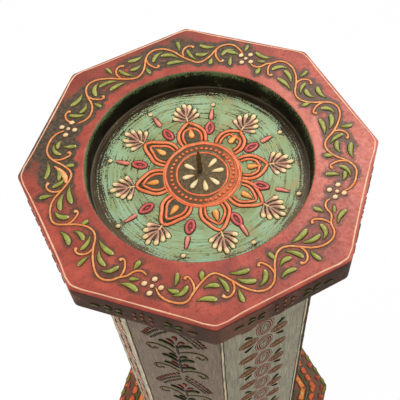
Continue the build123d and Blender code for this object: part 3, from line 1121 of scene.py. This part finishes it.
dark_red = dull_paint("dark red dots", (26, 16, 12), (98, 34, 26), (140, 62, 44), 0.45)
dark_row = dull_paint("dark rows", (24, 19, 13), (66, 54, 36), (150, 128, 84))
dark_leaf = dull_paint("dark leaves", (16, 13, 6), (28, 32, 12), (76, 80, 40))
curl_paint = dull_paint("curls", (24, 20, 12), (90, 78, 46), (164, 146, 98))
salmon = dull_paint("salmon ovals", (92, 62, 50), (176, 132, 114), (204, 166, 146), 0.45)
lens_paint = dull_paint("olive lenses", (84, 82, 62), (124, 126, 94), (146, 148, 116), 0.45)
rust_loops = dull_paint("rust loops", (46, 26, 16), (150, 92, 58), (208, 168, 126), 0.45)
column_wash = wash_paint("column wash", (24, 17, 10), (56, 42, 28), 0.03)


def squeeze_column(name, sheets, colour, thickness, closed=False, margin=0.0):
    """Strokes on the column or the foot, and the dark wash about them where margin is more than nothing."""
    squeeze(name, sheets, colour, thickness, 2, 1, closed)
    if margin:
        spread = [(wider(strokes, margin), sheet) for strokes, sheet in sheets]
        squeeze(name + "_wash", spread, column_wash, 0.04, 2, 1, closed)


squeeze_column("column_roof_dots", tree_sheets[0], dark_red, 0.45, margin=0.32)
squeeze_column("column_rows", tree_sheets[1], dark_row, 0.35, margin=0.28)
squeeze_column("column_red_drops", tree_sheets[2], dark_red, 0.5, margin=0.25)
squeeze_column("column_leaves", tree_sheets[3], dark_leaf, 0.5, margin=0.38)
squeeze_column("column_curls", tree_sheets[4], curl_paint, 0.4, margin=0.36)
squeeze_column("column_ovals", chain_sheets[0], salmon, 0.24, closed=True, margin=0.22)
squeeze_column("column_lenses", chain_sheets[1], lens_paint, 0.3)
squeeze_column("column_loops", chain_sheets[2], rust_loops, 0.24, closed=True, margin=0.16)
squeeze_column("column_green_strokes", chain_sheets[3], dark_leaf, 0.45, margin=0.3)

# %% [markdown]
# Where two staves meet, the painter drew one pale line down the corner and let a dark line stand beside it.
# Along the narrow angle that a camera sees it from, the line is never quite straight.

# %% Lines on the corners
LINE_STEPS = 56
SEAM_AWAY = 18.9  # from the middle of the stave


def down(x, sway, half, uneven):
    """A line from the top of a stave to its foot."""
    depths = [1.0 + (COLUMN_LENGTH - 2) * step / LINE_STEPS for step in range(LINE_STEPS + 1)]
    return [(x + shake(sway), -depth, half + shake(uneven)) for depth in depths]


corner_lines, seam_lines = [], []
for number in range(FACES):
    angle = COLUMN_TURN + STEP * number
    corner = upright_at(angle + HALF_STEP, COLUMN_REACH / cos(radians(HALF_STEP)) - 0.2, stave_high.z)
    corner_lines.append(([down(0, 0.2, 0.38, 0.2)], corner))
    flat = upright_at(angle, COLUMN_REACH, stave_high.z)
    for side, half in ((-1, 0.2), (1, 0.15)):
        seam_lines.append(([down(SEAM_AWAY * side, 0.12, half, 0.05)], flat))
corner_cream = stroke_paint("corner cream", (120, 100, 64), (206, 186, 136), (232, 216, 172), roughness=0.4)
squeeze_column("column_corner_lines", corner_lines, corner_cream, 0.5)
squeeze("column_seam_lines", seam_lines, column_wash, 0.06, 2, 1)

# %% [markdown]
# ## The edge of the top board and the foot
#
# Each side of the top board carries a small lattice of orange dots between two stars of green leaves. The
# foot is busier: bands of orange, green and red run along its eight sides, and they are repeated by rule on
# the sides that stand at the back.

# %% Edge ornament
LATTICE = ((0, 3.4), (-2.8, 1.7), (2.8, 1.7), (0, 0), (-2.8, -1.7), (2.8, -1.7), (0, -3.4))


def star(middle, heart):
    """Four leaves that point at a spot and stop short of it by heart."""
    four = []
    for turn in (35, 145, 215, 325):
        x, y = cos(radians(turn)), sin(radians(turn))
        four.append(drop((middle + 3.4 * x, 3.4 * y), (middle + heart * x, heart * y), 0.95, 0.3))
    return four


lattice, stars = [], []
for side in range(FACES):
    sheet = upright_at(STEP * side, PLATE_REACH, (PLATE_TOP + PLATE_BOTTOM) / 2 - 0.6)
    specks = [
        lobe((x + shake(0.3), y + 0.9), (x + shake(0.3), y - 0.9), 0.62 + shake(0.12)) for x, y in LATTICE
    ]
    lattice.append((specks, sheet))
    leaf_set = []
    for outward in (-1, 1):
        middle = 10.5 * outward
        leaf_set += star(middle, 0.5)
        leaf_set.append(drop((middle + 8.2 * outward, -0.3), (middle + 4.6 * outward, 0), 0.85, 0.2))
    stars.append((leaf_set, sheet))
edge_orange = dull_paint("edge orange", (50, 28, 16), (124, 60, 32), (160, 88, 50))
edge_green = dull_paint("edge green", (40, 32, 18), (62, 60, 30), (88, 88, 50))
squeeze_column("edge_dots", lattice, edge_orange, 0.35, margin=0.2)
squeeze_column("edge_leaves", stars, edge_green, 0.35, margin=0.2)

# %% [markdown]
# Going outwards, a side of the foot carries an orange band with cream dots and red dashes on it, a wavy green
# band, a row of orange petals, and along the rim a busy mix of olive, red and orange strokes. Each kind of
# stroke is drawn on every side and becomes one piece.

# %% Foot ornament
def run(out, half, wave=0.15, count=14):
    """A band along one side of the foot, as far out as out."""
    wide = out * tan(radians(HALF_STEP)) - 0.6
    places = [-wide + 2 * wide * step / count for step in range(count + 1)]
    return [(x, out + shake(wave), half + shake(half * 0.2)) for x in places]


def petal(x):
    crown = [(x - 1.0, 59.4 + shake(0.3), 2.0), (x + 1.1, 59.3 + shake(0.3), 2.1)]
    return [(x - 2.3, 60.0, 0.9), *crown, (x + 2.4, 60.0, 0.9)]


def dash(x):
    return [(x - 1.8, 52.2, 1.2), (x + shake(0.5), 52.6, 1.9), (x + 1.8, 52.4, 1.0)]


foot_sheets = {}
for side in range(FACES):
    sheet = flat_at(BASE_TOP) @ Matrix.Rotation(radians(BASE_TURN + STEP * side - 90), 4, "Z")
    for name, strokes in (
        ("bands", [run(52.7, 2.3)]),
        ("green_bands", [run(56.1, 0.9, 0.3, 22)]),
        ("petals", [petal(x) for x in [-23.0 + 5.75 * step + shake(0.4) for step in range(9)]]),
        ("dots", [bead(x, 52.5 + shake(0.3), 1.15) for x in (-17.5, -6, 6, 17.5)]),
        ("dashes", [dash(x) for x in (-11.8, 0, 11.8)]),
        ("olive_strokes", [drop((x - 2.9, 66.9), (x + 3, 66), 1.3, 0.4) for x in (-24, -14, -4, 6, 16, 25)]),
        ("red_strokes", [lobe((x - 2.2, 64.8), (x + 2.4, 65.2), 1.5) for x in (-25, -19, -9, 1, 11, 21)]),
        ("orange_touches", [lobe((x - 1.2, 66.6), (x + 1.2, 66.2), 1) for x in (-19.5, -9.2, 0.8, 10.8, 21)]),
    ):
        foot_sheets.setdefault(name, []).append((strokes, sheet))
print({name: sum(len(strokes) for strokes, sheet in sheets) for name, sheets in foot_sheets.items()})

# %% [markdown]
# The paints of the foot are the board's colours gone dull. The upright edge of the foot repeats the stars of
# the board's edge about four dots.

# %% Foot strokes
DRY = {"roughness": 0.5, "sheen": 0.2}
foot_orange = stroke_paint("foot orange", (128, 54, 24), (200, 96, 40), (246, 154, 80), **DRY)
petal_paint = stroke_paint("foot petals", (112, 52, 28), (190, 86, 44), (220, 118, 70), **DRY)
foot_green = stroke_paint("foot green", (44, 46, 28), (68, 82, 54), (86, 102, 70), sheen=0.15)
foot_olive = stroke_paint("foot olive", (62, 54, 20), (104, 98, 34), (136, 128, 56), sheen=0.15)
foot_red = stroke_paint("foot red", (72, 28, 18), (134, 54, 38), (170, 86, 66), sheen=0.15)
foot_cream = stroke_paint("foot cream", (130, 84, 44), (226, 180, 112), (240, 206, 146))
for name, colour, thickness in (
    ("bands", foot_orange, 0.25), ("green_bands", foot_green, 0.2), ("petals", petal_paint, 0.35),
    ("dots", foot_cream, 0.6), ("dashes", foot_red, 0.45), ("olive_strokes", foot_olive, 0.3),
    ("red_strokes", foot_red, 0.3), ("orange_touches", petal_paint, 0.36),
):
    squeeze_column("foot_" + name, foot_sheets[name], colour, thickness)

edge_dots, edge_leaves = [], []
for side in range(FACES):
    sheet = upright_at(BASE_TURN + STEP * side, BASE_REACH, (base_low.z + base_high.z) / 2)
    spots = ((0, 2.4), (0, -2.4), (-2.3, 0), (2.3, 0))
    edge_dots.append(([lobe((x, y + 1.1), (x, y - 1.1), 0.75) for x, y in spots], sheet))
    edge_leaves.append((star(-12, 0) + star(12, 0), sheet))
squeeze_column("foot_edge_dots", edge_dots, edge_orange, 0.35, margin=0.2)
squeeze_column("foot_edge_leaves", edge_leaves, edge_green, 0.35, margin=0.2)

# %% [markdown]
# ## Light, floor and camera
#
# The piece stands in a white room on white paper. The room looks fully white but lights the paint a little
# less than that, so the colours stay deep. A small lamp above gives the strokes their highlights and short
# shadows, and a second one low on the left lights that side of the column.

# %% Light
ROOM_ON_PAINT = 0.72


def looked_at(tree):
    """1 for what is seen directly, in a gloss or through glass, and 0 for light on its way to the paint."""
    path = tree.nodes.new("ShaderNodeLightPath")
    share = path.outputs["Is Camera Ray"]
    for ray in ("Is Glossy Ray", "Is Transmission Ray"):
        node = tree.nodes.new("ShaderNodeMath")
        node.operation = "MAXIMUM"
        tree.links.new(share, node.inputs[0])
        tree.links.new(path.outputs[ray], node.inputs[1])
        share = node.outputs[0]
    return share


def lamp(name, place, aim, size, energy):
    """A square lamp at place, turned to aim."""
    light = bpy.data.lights.new(name, "AREA")
    light.size = size
    light.energy = energy
    holder = show(name, light)
    holder.location = place
    holder.rotation_euler = (Vector(aim) - holder.location).to_track_quat("-Z", "Y").to_euler()


world = bpy.data.worlds.new("white room")
bpy.context.scene.world = world
world.use_nodes = True
sky = world.node_tree
sky.nodes.clear()
strength = sky.nodes.new("ShaderNodeMapRange")
strength.inputs["To Min"].default_value = ROOM_ON_PAINT
sky.links.new(looked_at(sky), strength.inputs["Value"])
background = sky.nodes.new("ShaderNodeBackground")
background.inputs["Color"].default_value = (1, 1, 1, 1)
sky.links.new(strength.outputs["Result"], background.inputs["Strength"])
output = sky.nodes.new("ShaderNodeOutputWorld")
sky.links.new(background.outputs[0], output.inputs["Surface"])
lamp("key", (0.21, 0.13, 0.63), (0, 0, 0.3), 0.16, 0.9)
lamp("window", (-0.42, 0.15, 0.2), (0, 0, 0.2), 0.2, 1.0)
print("room and two lamps")

# %% [markdown]
# The paper takes shadows like paper, but seen directly it is nearly as bright as the room, so that no
# horizon shows.

# %% Floor
GLOW_SHARE = 0.97
FLOOR_REACH = 3  # metres
sheet_shape = bmesh.new()
bmesh.ops.create_grid(sheet_shape, x_segments=4, y_segments=4, size=FLOOR_REACH)
sheet_mesh = bpy.data.meshes.new("floor")
sheet_shape.to_mesh(sheet_mesh)
sheet_shape.free()
ground = show("floor", sheet_mesh)
paper = Wiring("floor white", 0.9, 0.5)
paper.join((0.9, 0.9, 0.9, 1), paper.shader.inputs["Base Color"])
glow = paper.add("ShaderNodeEmission")
share = Reading(paper, looked_at(paper.tree)) * GLOW_SHARE
blend = paper.add("ShaderNodeMixShader", Fac=share)
paper.join(paper.shader.outputs[0], blend.inputs[1])
paper.join(glow.outputs[0], blend.inputs[2])
paper.join(blend.outputs[0], paper.tree.nodes["Material Output"].inputs["Surface"])
sheet_mesh.materials.append(paper.material)
print("floor under the foot")

# %% [markdown]
# The camera looks down steeply onto the board from close by, a little rolled, so the column falls away
# under it and the foot leaves the frame.

# %% Camera
EYE = Vector((-0.05876, -0.13990, 0.52377))
AIM = Vector((0.00182, -0.00407, 0.3065))
ROLL = radians(-4.364)
back = (EYE - AIM).normalized()
level = Vector((0, 0, 1)).cross(back).normalized()
upward = back.cross(level)
camera = bpy.data.cameras.new("camera")
camera.lens = 65.74
camera.sensor_width = 36
camera.shift_x = -0.0208
camera.shift_y = -0.0897
camera.clip_start = 0.01
viewer = show("camera", camera)
right_way = level * cos(ROLL) + upward * sin(ROLL)
up_way = upward * cos(ROLL) - level * sin(ROLL)
turn = Matrix((right_way, up_way, back)).transposed().to_4x4()
turn.translation = EYE
viewer.matrix_world = turn
bpy.context.scene.camera = viewer
bpy.context.scene.view_settings.view_transform = "Standard"
print("camera", round((EYE - AIM).length / MM), "mm from what it looks at")
